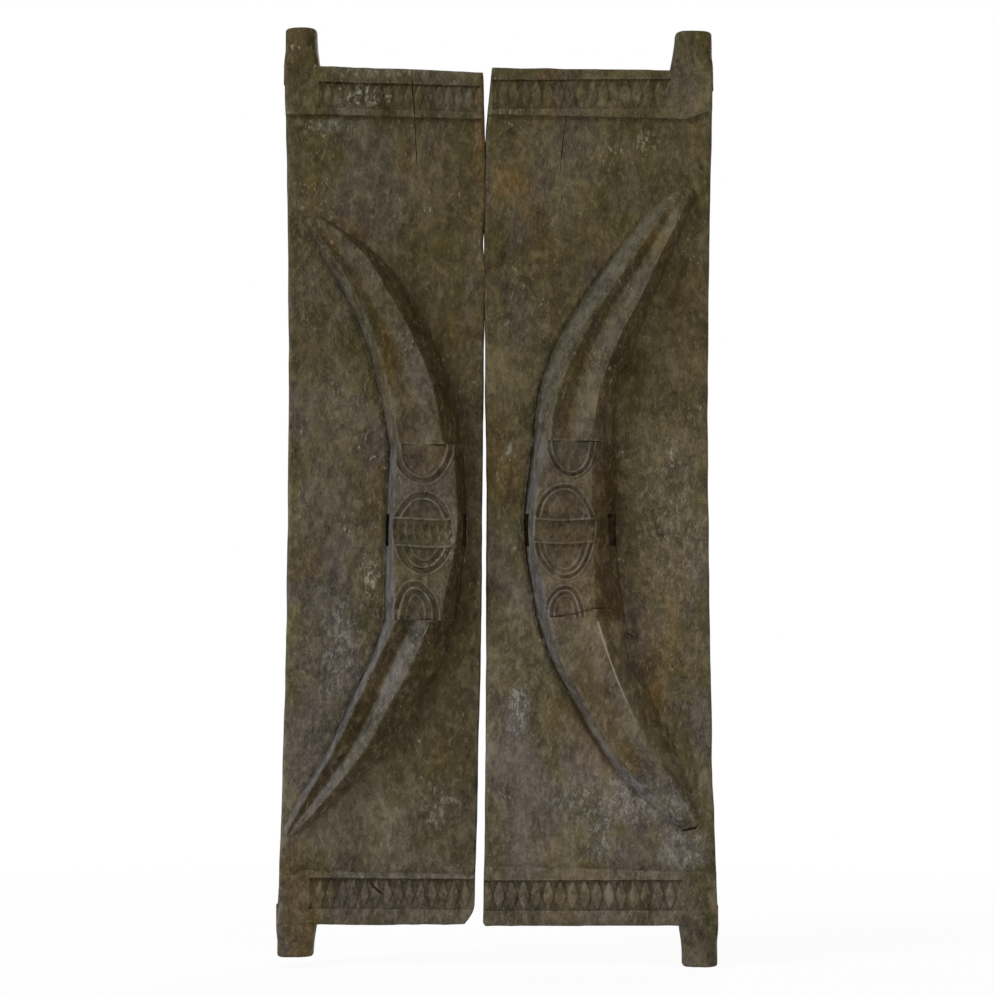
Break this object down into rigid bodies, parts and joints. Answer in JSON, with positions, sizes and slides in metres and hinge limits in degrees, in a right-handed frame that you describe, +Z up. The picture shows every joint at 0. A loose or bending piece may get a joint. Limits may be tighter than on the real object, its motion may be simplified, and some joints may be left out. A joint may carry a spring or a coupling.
{
  "type": "carved double-leaf door",
  "caption": "Hewn plank door leaves that turn on their own wooden pins, with carved horns, chip-carved lozenge bands and a tunnel through the horns for a sliding locking bar.",
  "frame": {"origin": "bottom centre of the pair, with the fields of both leaves in the plane y = 0", "axes": "+Z up along the pivot pins, +X to the right as seen from the front, the carved front faces -Y"},
  "size_m": [0.6945, 0.103, 1.5],
  "materials": {
    "hewn_wood": "hand-hewn, dark and worn, unvarnished"
  },
  "bodies": {
    "root": {"left_leaf": "hewn_wood", "right_leaf": "hewn_wood"}
  },
  "joints": []
}
